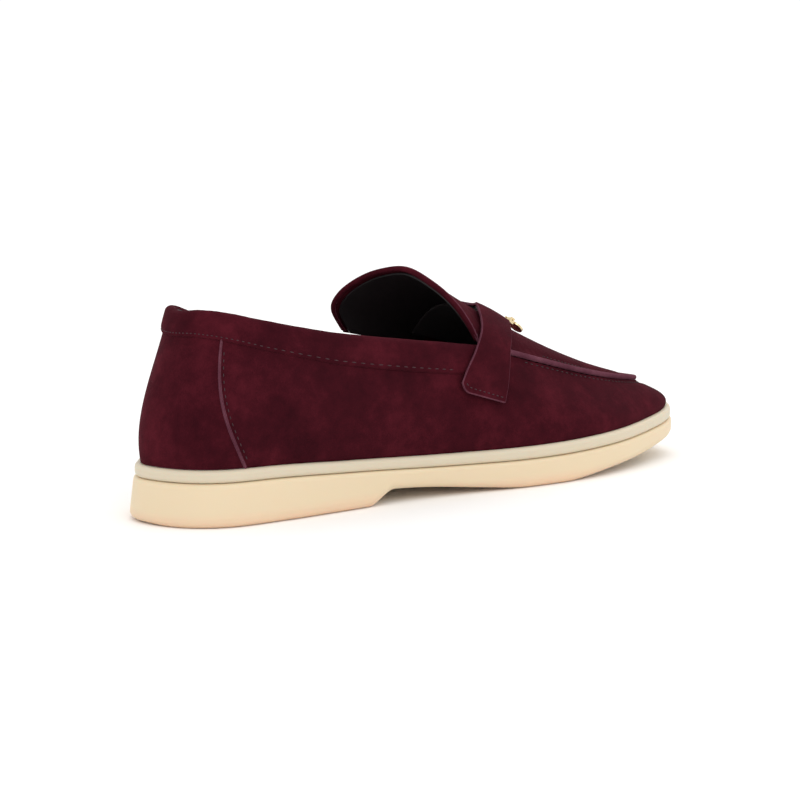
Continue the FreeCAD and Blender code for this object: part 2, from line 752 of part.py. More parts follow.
def stitch(skin, here, there, depth, flip):
    """One thread bar on a skin between two places on it."""
    a, b = lifted(skin, *here, depth, flip), lifted(skin, *there, depth, flip)
    run = b - a
    up = normal_of(skin, here[0], here[1], flip)
    side = up.cross(run).normalize()
    up = run.cross(side).normalize()
    bar = Part.makeBox(run.Length, size("thread_width"), size("thread_height"))
    turn = FreeCAD.Matrix(run.x / run.Length, side.x, up.x, 0, run.y / run.Length, side.y, up.y, 0,
                          run.z / run.Length, side.z, up.z, 0, 0, 0, 0, 1)
    bar = bar.transformGeometry(turn)
    bar.translate(a - side * size("thread_width") / 2)
    return bar


def stitches(skin, place, count, depth, flip=1):
    """Row of thread bars. place(k) gives a place on the skin, k from 0 to 1."""
    bars = []
    for i in range(count):
        bars.append(stitch(skin, place((i + 0.2) / count), place((i + 0.8) / count), depth, flip))
    return bars


def topline_row(k):
    u = -6.0 + 11.95 * k
    return u, band_edge(u) + 1.6 / wall_height(u)


def wall_row(k):
    u = OUTER_THROAT + 0.6 + (INNER_THROAT - OUTER_THROAT - 1.2) * k
    return u, 1 - 3.6 / wall_height(u)


def apron_row(side):
    def place(k):
        s = 0.06 + 0.70 * k
        half = (apron(s, 1) - apron(s, -1)).Length / 2
        return s, side * (1 - 3.4 / half)
    return place


def seam_row(side):
    seam = counter_seam(side)
    def place(k):
        v = 0.05 + 0.72 * k
        return seam(v) + side * 0.10, v
    return place


def strap_row(k0):
    def place(k):
        return k0, 0.08 + 0.84 * k
    return place


def tongue_row(k):
    return 0.93, (FLAP_HALF - 0.03) * (2 * k - 1)


add("topline_stitching", *stitches(wall, topline_row, 66, ON_BAND[0]))
add("apron_stitching", *stitches(wall, wall_row, 52, ON_LEATHER[0]),
    *stitches(apron, apron_row(-1), 22, ON_LEATHER[0], -1),
    *stitches(apron, apron_row(1), 22, ON_LEATHER[0], -1))
add("heel_seam_stitching", *stitches(wall, seam_row(1), 14, ON_LEATHER[0]),
    *stitches(wall, seam_row(-1), 14, ON_LEATHER[0]))
add("strap_stitching", *stitches(strap, strap_row(0.016), 8, ON_STRAP[0], -1),
    *stitches(strap, strap_row(0.984), 8, ON_STRAP[0], -1))
add("tongue_stitching", *stitches(tongue, tongue_row, 20, ON_LEATHER[0], -1))


# ---------------------------------------------------------------- charm on the strap
CHARM_AT = (0.5, 0.90)
DISC_DROP = 14.0       # degrees the resting disc points below the strap's slope


def charm():
    """Small disc on a pin, held by a plate with two ears on the strap's front edge."""
    seat = lifted(strap, *CHARM_AT, STRAP[1] + 0.12, -1)
    forward = (strap(0.5, 0.98) - strap(0.5, 0.82)).normalize()
    slope = math.degrees(math.atan2(-forward.z, forward.x))
    tilt = FreeCAD.Rotation(V(0, 1, 0), slope)
    half = size("charm_plate_length") / 2
    axis_local = V(half + 0.4, 0, size("charm_plate_thickness") + 1.3)

    plate = doc.addObject("Part::Box", "plate_blank")
    bind(plate, "Length", "@charm_plate_length")
    bind(plate, "Width", "@charm_plate_width * 2")
    bind(plate, "Height", "@charm_plate_thickness")
    plate.Placement = FreeCAD.Placement(seat + tilt.multVec(V(-half, -size("charm_plate_width"), 0)), tilt)
    ears = []
    for side in (-1, 1):
        ear = doc.addObject("Part::Box", "ear")
        ear.Length = 2.2
        ear.Width = 0.8
        bind(ear, "Height", "@charm_plate_thickness + 2.2")
        corner = V(axis_local.x - 1.2, side * 2.0 - 0.4, 0)
        ear.Placement = FreeCAD.Placement(seat + tilt.multVec(corner), tilt)
        ears.append(ear)
    mount = doc.addObject("Part::MultiFuse", "charm_mount")
    mount.Label = "charm_mount"
    mount.Shapes = [plate] + ears

    axis_point = seat + tilt.multVec(axis_local)
    along_y = FreeCAD.Rotation(V(1, 0, 0), -90)
    pin = doc.addObject("Part::Cylinder", "charm_pin")
    pin.Label = "charm_pin"
    bind(pin, "Radius", "@charm_pin_radius")
    pin.Height = 5.6
    pin.Placement = FreeCAD.Placement(axis_point + V(0, -2.8, 0), along_y)

    hang = FreeCAD.Rotation(V(0, 1, 0), slope + DISC_DROP)
    disc = doc.addObject("Part::Cylinder", "disc_blank")
    bind(disc, "Radius", "@charm_radius")
    bind(disc, "Height", "@charm_thickness")
    reach = V(size("charm_reach"), 0, -size("charm_thickness") / 2)
    disc.Placement = FreeCAD.Placement(axis_point + hang.multVec(reach), hang)
    eye = doc.addObject("Part::Cylinder", "eye_blank")
    bind(eye, "Radius", "@charm_eye_radius")
    eye.Height = 2.4
    eye.Placement = FreeCAD.Placement(axis_point + V(0, -1.2, 0), along_y)
    neck = doc.addObject("Part::Box", "neck_blank")
    bind(neck, "Length", "@charm_reach - @charm_radius + 1.2")
    neck.Width = 2.0
    bind(neck, "Height", "@charm_thickness")
    neck.Placement = FreeCAD.Placement(axis_point + hang.multVec(V(0, -1, -size("charm_thickness") / 2)), hang)
    joined = doc.addObject("Part::MultiFuse", "disc_joined")
    joined.Shapes = [disc, eye, neck]
    bore = doc.addObject("Part::Cylinder", "eye_bore")
    bind(bore, "Radius", "@charm_pin_radius + @charm_eye_clearance")
    bore.Height = 4
    bore.Placement = FreeCAD.Placement(axis_point + V(0, -2, 0), along_y)
    cut = doc.addObject("Part::Cut", "charm_disc")
    cut.Label = "charm_disc"
    cut.Base = joined
    cut.Tool = bore


charm()

# ---------------------------------------------------------------- writing the parts
def save_all():
    """Recomputes, checks every object, and writes one file for each sub-part."""
    doc.recompute()
    for thing in doc.Objects:
        assert not {"Invalid", "Error"} & set(thing.State), (thing.Name, thing.State)
    os.makedirs("parts", exist_ok=True)
    inner = {child for thing in doc.Objects if not thing.isDerivedFrom("PartDesign::Body")
             for child in thing.OutList}
    for thing in doc.Objects:
        whole = thing.isDerivedFrom("PartDesign::Body") or (
            thing.isDerivedFrom("Part::Feature") and not thing.isDerivedFrom("PartDesign::Feature")
            and not thing.isDerivedFrom("Sketcher::SketchObject") and thing not in inner)
        if whole:
            assert not thing.Shape.isNull() and thing.Shape.isValid(), thing.Label
            thing.Shape.exportStep(f"parts/{thing.Label}.step")
            print(f"{thing.Label:24} {thing.Shape.Volume:12.1f} mm3 {len(thing.Shape.Solids)}")


save_all()
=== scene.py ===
"""Slip-on penny loafer in wine suede on a cream rubber sole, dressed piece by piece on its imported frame."""
import math

import bmesh
import bpy
from mathutils import Matrix, Quaternion, Vector


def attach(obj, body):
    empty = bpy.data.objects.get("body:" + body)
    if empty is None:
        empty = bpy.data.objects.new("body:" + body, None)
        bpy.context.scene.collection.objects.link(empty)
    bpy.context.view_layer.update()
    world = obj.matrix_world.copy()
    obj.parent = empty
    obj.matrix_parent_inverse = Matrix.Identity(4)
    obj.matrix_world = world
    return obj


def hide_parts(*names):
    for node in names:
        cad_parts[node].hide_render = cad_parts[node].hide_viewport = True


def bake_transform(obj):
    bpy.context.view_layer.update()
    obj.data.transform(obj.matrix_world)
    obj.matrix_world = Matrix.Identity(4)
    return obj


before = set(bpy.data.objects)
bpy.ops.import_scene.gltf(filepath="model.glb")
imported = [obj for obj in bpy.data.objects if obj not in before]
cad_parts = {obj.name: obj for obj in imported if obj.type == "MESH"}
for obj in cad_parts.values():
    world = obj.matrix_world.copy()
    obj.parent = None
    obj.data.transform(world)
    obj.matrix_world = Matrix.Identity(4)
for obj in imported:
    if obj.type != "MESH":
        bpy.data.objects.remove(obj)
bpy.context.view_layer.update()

scene = bpy.context.scene
MM = 0.001

# ------------------------------------------------------------------ camera, light and floor
# A long lens about a metre off, a little above the shoe, seen from behind the outer side.
AIM = Vector((0.0, 0.0, 0.05))
AROUND = math.radians(-38.14)
ABOVE = math.radians(8.0)
AWAY = 1.1626

lens = bpy.data.cameras.new("studio_camera")
lens.lens = 117.0
lens.sensor_width = 36.0
lens.shift_x = -0.0213
lens.shift_y = -0.0361
camera = bpy.data.objects.new("studio_camera", lens)
scene.collection.objects.link(camera)
back = Vector((math.sin(AROUND) * math.cos(ABOVE), -math.cos(AROUND) * math.cos(ABOVE), math.sin(ABOVE)))
camera.location = AIM + back * AWAY
ROLL = Quaternion((0, 0, 1), math.radians(-0.3))
camera.rotation_euler = ((-back).to_track_quat("-Z", "Y") @ ROLL).to_euler()
scene.camera = camera

scene.view_settings.view_transform = "Standard"
world = bpy.data.worlds.new("studio")
world.use_nodes = True
world.node_tree.nodes["Background"].inputs["Color"].default_value = (1.0, 1.0, 1.0, 1.0)
world.node_tree.nodes["Background"].inputs["Strength"].default_value = 1.05
scene.world = world


def softbox(name, place, size, watts):
    """Square area light that faces the shoe."""
    light = bpy.data.lights.new(name, "AREA")
    light.shape = "SQUARE"
    light.size = size
    light.energy = watts
    lamp = bpy.data.objects.new(name, light)
    scene.collection.objects.link(lamp)
    lamp.location = place
    lamp.rotation_euler = (AIM - Vector(place)).to_track_quat("-Z", "Y").to_euler()


softbox("key_softbox", (-0.5, -1.3, 1.3), 1.0, 4.0)
softbox("top_softbox", (0.5, 0.2, 1.6), 1.2, 4.5)


def linear(hex_colour):
    """sRGB hex as linear RGBA."""
    channels = [int(hex_colour[i:i + 2], 16) / 255 for i in (1, 3, 5)]
    return [c / 12.92 if c <= 0.04045 else ((c + 0.055) / 1.055) ** 2.4 for c in channels] + [1.0]


def node(tree, kind, settings=(), values=(), links=()):
    """Adds a node. values go into its inputs, and each link is (input, other node, its output)."""
    made = tree.nodes.new(kind)
    for key, value in dict(settings).items():
        setattr(made, key, value)
    for key, value in dict(values).items():
        made.inputs[key].default_value = value
    for socket, source, output in links:
        tree.links.new(source.outputs[output], made.inputs[socket])
    return made


def start_material(name, roughness, **shader_values):
    """A new node material: its tree, its shader, and its object coordinates in metres."""
    material = bpy.data.materials.new(name)
    material.use_nodes = True
    tree = material.node_tree
    shader = tree.nodes["Principled BSDF"]
    shader.inputs["Roughness"].default_value = roughness
    for key, value in shader_values.items():
        shader.inputs[key.replace("_", " ")].default_value = value
    place = node(tree, "ShaderNodeTexCoord")
    return material, tree, shader, place


def ramp(tree, source, output, stops):
    """Colour ramp with (position, hex) stops."""
    made = node(tree, "ShaderNodeValToRGB", links=[("Fac", source, output)])
    elements = made.color_ramp.elements
    while len(elements) < len(stops):
        elements.new(0.5)
    for element, (position, colour) in zip(elements, stops):
        element.position = position
        element.color = linear(colour)
    return made


def painted_floor():
    """Matt white studio floor."""
    material, tree, shader, place = start_material("matt_white_paint", 0.9)
    speckle = node(tree, "ShaderNodeTexNoise", values={"Scale": 60.0}, links=[("Vector", place, "Object")])
    tone = ramp(tree, speckle, "Fac", [(0.0, "#fbfaf9"), (1.0, "#fdfcfb")])
    tree.links.new(tone.outputs["Color"], shader.inputs["Base Color"])
    return material


floor_mesh = bmesh.new()
bmesh.ops.create_grid(floor_mesh, x_segments=1, y_segments=1, size=6.0)
floor_data = bpy.data.meshes.new("floor")
floor_mesh.to_mesh(floor_data)
floor_data.materials.append(painted_floor())
floor = bpy.data.objects.new("floor", floor_data)
scene.collection.objects.link(floor)

# ------------------------------------------------------------------ outsole
# One piece of cream rubber: low heel block, hollowed waist, flat ball and sprung toe. It is moulded, so its
# edges are soft, and the ball and heel carry fine cross ribs.
LENGTH = 295.0 / 290.0


def through(points, x):
    """Height at x of a smooth line through (x, z) points."""
    if x <= points[0][0]:
        return points[0][1]
    if x >= points[-1][0]:
        return points[-1][1]
    i = max(k for k in range(len(points) - 1) if points[k][0] <= x)
    (x0, z0), (x1, z1) = points[i], points[i + 1]
    before = points[i - 1] if i > 0 else points[i]
    after = points[i + 2] if i + 2 < len(points) else points[i + 1]
    width = x1 - x0
    slope0 = (z1 - before[1]) / (x1 - before[0]) * width
    slope1 = (after[1] - z0) / (after[0] - x0) * width
    t = (x - x0) / width
    return ((2 * t**3 - 3 * t**2 + 1) * z0 + (t**3 - 2 * t**2 + t) * slope0
            + (3 * t**2 - 2 * t**3) * z1 + (t**3 - t**2) * slope1)


# Stations round the shoe, in millimetres: where the wall meets the sole (x, y), the wall's top edge (x, y, z)
# and how far the wall bellies out between them.
STATIONS = [
    (-141.5, 0.0, -124.5, 0.0, 86.2, 3.8), (-135.5, -20.0, -121.5, -11.8, 87.2, 3.8),
    (-121.0, -31.0, -113.0, -20.5, 86.0, 3.6), (-97.0, -33.0, -96.0, -26.0, 81.6, 3.2),
    (-66.0, -33.5, -66.0, -28.8, 74.8, 3.0), (-34.0, -33.5, -33.0, -30.2, 69.4, 3.2),
    (-4.0, -37.0, -4.0, -30.6, 65.2, 2.6), (26.0, -42.0, 20.0, -29.6, 61.2, 2.4),
    (54.0, -43.5, 48.0, -27.6, 53.4, 3.0), (82.0, -40.0, 74.0, -25.0, 46.2, 3.2),
    (108.0, -31.5, 98.0, -20.0, 40.8, 3.2), (129.5, -21.0, 116.5, -13.0, 37.6, 3.4),
    (140.0, -8.0, 125.0, -4.0, 36.0, 3.6), (142.0, 9.0, 126.0, 5.0, 35.7, 3.6),
    (139.0, 20.5, 123.5, 13.0, 36.0, 3.6), (125.0, 33.5, 113.0, 20.5, 37.8, 3.4),
    (101.0, 42.0, 92.0, 25.5, 42.2, 3.2), (73.0, 45.0, 67.0, 27.8, 49.2, 3.2),
    (45.0, 42.0, 41.0, 28.8, 55.0, 2.8), (16.0, 34.0, 13.0, 29.8, 60.0, 2.4),
    (-12.0, 28.0, -12.0, 30.2, 62.0, 2.4), (-40.0, 26.5, -38.0, 29.8, 66.0, 3.0),
    (-68.0, 28.5, -68.0, 28.2, 72.5, 3.0), (-97.0, 31.0, -97.0, 25.6, 80.0, 3.2),
    (-119.0, 27.5, -113.0, 19.8, 85.4, 3.6), (-133.0, 15.0, -121.5, 11.5, 87.0, 3.8)]
COUNT = len(STATIONS)
OUTER_THROAT, TOE, INNER_THROAT = 7, 13, 19
FEATHER = [(-146, 23.8), (-100, 23.2), (-60, 21.0), (-20, 18.9), (30, 18.2), (80, 19.4),
           (120, 21.8), (146, 24.6)]
GROOVE = [(-146, 18.4), (-100, 17.9), (-60, 15.9), (-20, 13.6), (30, 12.6), (80, 13.8),
          (120, 16.2), (146, 18.8)]
UNDERSIDE = [(-146, 1.6), (-136, 0.0), (-58, 0.0), (-53, 0.4), (-44, 5.6), (-39, 5.9), (-20, 4.4), (2, 1.9),
             (22, 0.0), (46, 0.0), (75, 3.0), (100, 5.4), (125, 8.6), (146, 12.4)]
OVERHANG = 3.0          # outsole beyond the foot of the wall
SOLE_MERGE = 0.00006    # metres: joins the sides to the underside and the top


def ring(column, u):
    """A column of the station table at u stations round the closed loop, as a smooth curve."""
    i = math.floor(u)
    t = u - i
    p0, p1, p2, p3 = (STATIONS[(i + k) % COUNT][column] for k in (-1, 0, 1, 2))
    return 0.5 * (2 * p1 + (p2 - p0) * t + (2 * p0 - 5 * p1 + 4 * p2 - p3) * t**2
                  + (3 * p1 - p0 - 3 * p2 + p3) * t**3)


def foot_of_wall(u):
    x = ring(0, u) * LENGTH
    return Vector((x, ring(1, u), through(FEATHER, x / LENGTH) + 0.15))


def outward(u):
    """Level unit vector that points out of the shoe at station u."""
    step = foot_of_wall(u + 0.02) - foot_of_wall(u - 0.02)
    return Vector((step.y, -step.x, 0)).normalized()


def grid_mesh(bm, rows, columns, place, flip=False):
    """Adds a grid whose points are moved to place(a, b), in millimetres, with a and b from 0 to 1."""
    made = bmesh.ops.create_grid(bm, x_segments=rows, y_segments=columns, size=0.5)["verts"]
    for vert in made:
        vert.co = place(vert.co.x + 0.5, vert.co.y + 0.5) * MM
    if flip:
        faces = list({face for vert in made for face in vert.link_faces})
        bmesh.ops.reverse_faces(bm, faces=faces)


def finish_piece(name, bm, material, body, replaced=(), smooth=1, merge=0.00002):
    """Turns a bmesh into a smooth piece that rides on a body and stands for its CAD nodes."""
    bmesh.ops.remove_doubles(bm, verts=bm.verts, dist=merge)
    for face in bm.faces:
        face.smooth = True
    data = bpy.data.meshes.new(name)
    bm.to_mesh(data)
    bm.free()
    data.materials.append(material)
    piece = bpy.data.objects.new(name, data)
    scene.collection.objects.link(piece)
    if smooth:
        rounding = piece.modifiers.new("smooth", "SUBSURF")
        rounding.levels = smooth
        rounding.render_levels = smooth
    if body:
        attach(piece, body)
    if replaced:
        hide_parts(*replaced)
    return piece


def sole_side(offset_and_height):
    """Band round the sole. offset_and_height(k, u, x) gives the band's profile, k from 0 to 1 upwards."""
    def place(a, b):
        u = a * COUNT
        base = foot_of_wall(u)
        offset, height = offset_and_height(b, u, base.x / LENGTH)
        spot = base + outward(u) * offset
        return Vector((spot.x, spot.y, height))
    return place


def row_of(u):
    """Lengthwise position, shared by the outer and inner edge, so that the underside is straight across."""
    return (ring(0, u) + ring(0, -u)) / 2


def arc_profile(k, low, high, inner_low, outer, inner_high, round_low, round_high):
    """Side profile with rounded corners: returns (offset, height) at k from 0 to 1."""
    corner = 0.3
    if k < corner:
        turn = k / corner * math.pi / 2
        return (inner_low + (outer - inner_low) * math.sin(turn), low + round_low * (1 - math.cos(turn)))
    if k > 1 - corner:
        turn = (1 - k) / corner * math.pi / 2
        return (inner_high + (outer - inner_high) * math.sin(turn), high - round_high * (1 - math.cos(turn)))
    share = (k - corner) / (1 - 2 * corner)
    return outer, low + round_low + (high - round_high - low - round_low) * share


def flare(u):
    """The heel block widens towards the ground."""
    return 2.2 * max(0.0, min(1.0, (-row_of(u) - 30) / 60))


def outsole_profile(k, u, x):
    low = max(0.0, through(UNDERSIDE, row_of(u)))
    high = through(GROOVE, x)
    deep = min(3.4, (high - low) * 0.38)
    edge, height = arc_profile(k, low, high, OVERHANG - deep, OVERHANG, OVERHANG - 1.9, deep, 1.5)
    lean = 1 - (height - low) / (high - low)
    return edge + flare(u) * lean, height


def rib(x, side):
    """Depth of the cross ribs under the ball and the heel."""
    pitch = 4.2
    inside = (-132 < x < -64 or 22 < x < 118) and side > 0.06
    return 0.9 * max(0.0, math.sin(2 * math.pi * x / pitch)) if inside else 0.0


def underside(a, b):
    """Bottom of the outsole, from the outer edge (b 0) to the inner edge (b 1)."""
    u = a * TOE
    outer, _ = outsole_profile(0, u, ring(0, u))
    left = foot_of_wall(u) + outward(u) * outer
    right = foot_of_wall(-u) + outward(-u) * outer
    spot = left + (right - left) * b
    side = min(b, 1 - b) * (right - left).length / 60
    # The smooth curve dips slightly below the ground between its level points, so it is held at the ground.
    ground = max(0.0, through(UNDERSIDE, row_of(u)))
    return Vector((spot.x, spot.y, ground + rib(spot.x / LENGTH, side)))


def cover(height, inset):
    """Flat top from edge to edge, at height(x)."""
    def place(a, b):
        u = a * TOE
        left = foot_of_wall(u) + outward(u) * inset
        right = foot_of_wall(-u) + outward(-u) * inset
        spot = left + (right - left) * b
        return Vector((spot.x, spot.y, height(ring(0, u) + (ring(0, -u) - ring(0, u)) * b)))
    return place


def moulded_rubber(name, pale, warm, low, high):
    """Moulded natural rubber: matt-satin, faintly see-through, warmer in tone towards the ground."""
    material, tree, shader, place = start_material(name, 0.5, Subsurface_Weight=0.12, Subsurface_Scale=0.004)
    split = node(tree, "ShaderNodeSeparateXYZ", links=[("Vector", place, "Object")])
    level = node(tree, "ShaderNodeMapRange", values={"From Min": low * MM, "From Max": high * MM},
                 links=[("Value", split, "Z")])
    cloud = node(tree, "ShaderNodeTexNoise", values={"Scale": 45.0, "Detail": 3.0},
                 links=[("Vector", place, "Object")])
    mixed = node(tree, "ShaderNodeMath", {"operation": "MULTIPLY_ADD"}, {1: 0.25},
                 [(0, cloud, "Fac"), (2, level, "Result")])
    tone = ramp(tree, mixed, "Value", [(0.1, warm), (0.65, pale)])
    tree.links.new(tone.outputs["Color"], shader.inputs["Base Color"])
    # Moulding skin: grains about 0.8 mm across, very shallow.
    grain = node(tree, "ShaderNodeTexNoise", values={"Scale": 1.0 / (0.8 * MM), "Detail": 2.0},
                 links=[("Vector", place, "Object")])
    bump = node(tree, "ShaderNodeBump", values={"Strength": 0.25, "Distance": 0.00008},
                links=[("Height", grain, "Fac")])
    tree.links.new(bump.outputs["Normal"], shader.inputs["Normal"])
    return material


cream_rubber = moulded_rubber("cream_moulded_rubber", "#dfcbaa", "#e4c1a2", 0.0, 12.0)
sole = bmesh.new()
grid_mesh(sole, 936, 12, sole_side(outsole_profile))
grid_mesh(sole, 468, 24, underside, flip=True)
grid_mesh(sole, 468, 10, cover(lambda x: through(GROOVE, x), OVERHANG - 1.9))
finish_piece("outsole_rubber", sole, cream_rubber, "shoe", ["outsole"], smooth=0,
             merge=SOLE_MERGE)

# ------------------------------------------------------------------ midsole
# Ivory rubber rand between upper and outsole, cemented to both. A groove is left where it meets the outsole.


def midsole_profile(k, u, x):
    low, high = through(GROOVE, x) + 0.1, through(FEATHER, x)
    return arc_profile(k, low, high, OVERHANG - 2.2, OVERHANG - 0.5, OVERHANG - 2.4, 1.6, 1.9)


ivory_rubber = moulded_rubber("ivory_moulded_rubber", "#d0c4ac", "#ccbca0", 8.0, 24.0)
rand = bmesh.new()
grid_mesh(rand, 312, 10, sole_side(midsole_profile))
grid_mesh(rand, 156, 10, cover(lambda x: through(FEATHER, x), OVERHANG - 2.4))
grid_mesh(rand, 156, 10, cover(lambda x: through(GROOVE, x) + 0.1, OVERHANG - 2.2), flip=True)
finish_piece("midsole_rand", rand, ivory_rubber, "shoe", ["midsole"], smooth=0,
             merge=SOLE_MERGE)

# ------------------------------------------------------------------ inner pieces of the sole and upper
# Cores, shank, insole board and stiffeners. They are closed in when the shoe is made, so each keeps its
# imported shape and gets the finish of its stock.


def stock(name, hexes, roughness, grain_mm, relief_mm, metallic=0.0):
    """Plain stock material with a mottled tone and a fine surface grain."""
    material, tree, shader, place = start_material(name, roughness, Metallic=metallic)
    mottle = node(tree, "ShaderNodeTexNoise", values={"Scale": 1.0 / (grain_mm * 4 * MM), "Detail": 4.0},
                  links=[("Vector", place, "Object")])
    tone = ramp(tree, mottle, "Fac", [(0.3, hexes[0]), (0.7, hexes[1])])
    tree.links.new(tone.outputs["Color"], shader.inputs["Base Color"])
    grain = node(tree, "ShaderNodeTexNoise", values={"Scale": 1.0 / (grain_mm * MM), "Detail": 3.0},
                 links=[("Vector", place, "Object")])
    bump = node(tree, "ShaderNodeBump", values={"Strength": 0.6, "Distance": relief_mm * MM},
                links=[("Height", grain, "Fac")])
    tree.links.new(bump.outputs["Normal"], shader.inputs["Normal"])
    return material


def paint_node(name, material):
    """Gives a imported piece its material."""
    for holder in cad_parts[name].material_slots:
        holder.material = material


pressed_fibre = stock("pressed_fibre_board", ("#8a6a4c", "#a3845f"), 0.85, 0.8, 0.1)
eva_foam = stock("moulded_eva_foam", ("#ded8cb", "#e9e4d8"), 0.8, 0.6, 0.08)
ground_cork = stock("ground_cork", ("#7b5433", "#a87b4e"), 0.9, 1.6, 0.2)
spring_steel = stock("rolled_spring_steel", ("#8b8c8f", "#9a9b9d"), 0.35, 0.4, 0.02, metallic=1.0)
woven_tape = stock("woven_cotton_tape", ("#8d857b", "#a09889"), 0.9, 0.5, 0.1)
collar_foam = stock("polyurethane_foam", ("#d9cfae", "#e4dbbd"), 0.95, 0.7, 0.15)
for part_name, part_material in (("heel_core", eva_foam), ("ball_core", ground_cork), ("shank", spring_steel),
                                 ("insole_board", pressed_fibre), ("heel_counter", pressed_fibre),
                                 ("toe_puff", pressed_fibre), ("collar_foam", collar_foam),
                                 ("topline_tape", woven_tape)):
    paint_node(part_name, part_material)

# ------------------------------------------------------------------ linings
# Dark smooth-grained calf in the quarters and tongue, and close-woven cloth in the vamp.
dark_calf = stock("smooth_calf_lining", ("#0b0406", "#12070a"), 0.55, 0.5, 0.03)
dark_cloth = stock("woven_vamp_lining", ("#0e0508", "#190b0f"), 0.9, 0.6, 0.12)

# ------------------------------------------------------------------ sock
# Thin dark leather over foam, cut to the footbed and turned up a little where it meets the lining.


def sock_top(a, b):
    u = a * TOE
    # The toe is low, so the sock stops further short of the wall there.
    inset = -3.2 - 9.2 * max(0.0, (u - 9.0) / (TOE - 9.0)) ** 1.4
    left = foot_of_wall(u) + outward(u) * inset
    right = foot_of_wall(-u) + outward(-u) * inset
    spot = left + (right - left) * b
    edge = abs(2 * b - 1)
    x = ring(0, u) + (ring(0, -u) - ring(0, u)) * b
    return Vector((spot.x, spot.y, through(FEATHER, x) + 5.9 + 1.6 * edge**6 + 0.8 * (1 - edge**2)))


sock_mesh = bmesh.new()
grid_mesh(sock_mesh, 120, 24, sock_top)
sock = finish_piece("sock_liner_leather", sock_mesh, dark_calf, "shoe", ["sock_liner", "sock_foam"],
                    smooth=0)
sock_wall = sock.modifiers.new("thickness", "SOLIDIFY")
sock_wall.thickness = 1.0 * MM
sock_wall.offset = -1.0

# ------------------------------------------------------------------ side wall
# Vamp and quarters in one piece of wine calf suede, 1.3 mm thick, pulled over the last round the toe and
# cemented to the midsole. The nap is brushed, so it shows lighter and darker patches.


def top_of_wall(u):
    return Vector((ring(2, u) * LENGTH, ring(3, u), ring(4, u)))


def wall(u, v):
    """Outer face of the wall: v is 0 at the sole and 1 at the top edge."""
    low, high = foot_of_wall(u), top_of_wall(u)
    belly = ring(5, u) * 6.75 * v * (1 - v) ** 2
    return low + (high - low) * v + outward(u) * belly


def lifted(skin, p, q, depth, flip=1):
    """Point on skin(p, q) moved depth along its normal."""
    step = 0.004
    along_p = skin(p + step, q) - skin(p - step, q)
    along_q = skin(p, q + step) - skin(p, q - step)
    return skin(p, q) + along_p.cross(along_q).normalized() * depth * flip


def wall_height(u):
    return (top_of_wall(u) - foot_of_wall(u)).length


def seam_station(side, v):
    """Seam between the heel cover and the side wall."""
    return side * (1.93 + 0.42 * (1 - v) ** 1.6 - 0.28 * math.sin(math.pi * v))


def front_share(u):
    """0 along the open topline and 1 along the apron seam."""
    u = u % COUNT
    blend = 0.3
    share = max(0.0, min(1.0, (u - OUTER_THROAT + blend) / blend, (INNER_THROAT + blend - u) / blend))
    return share * share * (3 - 2 * share)


PUCKER_PITCH = 4.2      # millimetres between the gathers beside the seam
STATION_STEP = 27.0     # millimetres of apron seam in one station


def pucker(u, v):
    """Leather gathered by the apron stitches: small waves that fade away from the seam."""
    from_top = (1 - v) * wall_height(u)
    waves = math.sin(2 * math.pi * u * STATION_STEP / PUCKER_PITCH)
    groove = 0.7 * math.exp(-((from_top - 2.8) / 1.5) ** 2)
    return front_share(u) * (0.22 * waves * math.exp(-from_top / 2.6) - groove)


def soft_dents(u, v):
    """Slow hollows where unlined suede relaxes between the heel and the ball."""
    slow = 0.35 * math.sin(1.7 * u + 3.0 * v) * math.sin(math.pi * v)
    return slow + 0.2 * math.sin(3.1 * u - 5.0 * v) * v * (1 - v)


def suede(name, deep, mid, brushed, roughness=0.96):
    """Calf suede: a short matt nap, lighter where it is stroked up and at grazing angles."""
    material, tree, shader, place = start_material(
        name, roughness, Sheen_Weight=0.12, Sheen_Roughness=0.45, Sheen_Tint=linear("#a5485a"),
        Specular_IOR_Level=0.05)
    # Patches of nap about 26 mm across, broken up by strokes about 5 mm across.
    patches = node(tree, "ShaderNodeTexNoise", links=[("Vector", place, "Object")],
                   values={"Scale": 1.0 / (26 * MM), "Detail": 3.0, "Roughness": 0.6})
    strokes = node(tree, "ShaderNodeTexNoise", links=[("Vector", place, "Object")],
                   values={"Scale": 1.0 / (5 * MM), "Detail": 4.0, "Roughness": 0.65})
    # Single tufts are 0.1 mm, too fine to show, so they are drawn 0.7 mm across.
    tufts = node(tree, "ShaderNodeTexNoise", links=[("Vector", place, "Object")],
                 values={"Scale": 1.0 / (0.7 * MM), "Detail": 5.0, "Roughness": 0.7})
    # The three are mixed in shares of 0.5, 0.3 and 0.2, which gives a value about 0.5.
    broad = node(tree, "ShaderNodeMath", {"operation": "MULTIPLY"}, {1: 0.5}, [(0, patches, "Fac")])
    stroked = node(tree, "ShaderNodeMath", {"operation": "MULTIPLY_ADD"}, {1: 0.3},
                   [(0, strokes, "Fac"), (2, broad, "Value")])
    nap = node(tree, "ShaderNodeMath", {"operation": "MULTIPLY_ADD"}, {1: 0.2},
               [(0, tufts, "Fac"), (2, stroked, "Value")])
    tone = ramp(tree, nap, "Value", [(0.35, deep), (0.5, mid), (0.65, brushed)])
    tree.links.new(tone.outputs["Color"], shader.inputs["Base Color"])
    pile = node(tree, "ShaderNodeMath", {"operation": "MULTIPLY_ADD"}, {1: 0.35},
                [(0, strokes, "Fac"), (2, tufts, "Fac")])
    bump = node(tree, "ShaderNodeBump", values={"Strength": 0.55, "Distance": 0.00022},
                links=[("Height", pile, "Value")])
    tree.links.new(bump.outputs["Normal"], shader.inputs["Normal"])
    return material


wine_suede = suede("brushed_calf_suede", "#2c0911", "#390d16", "#4c151f")
cut_edge = suede("cut_suede_edge", "#43202a", "#5a323e", "#6f444f")


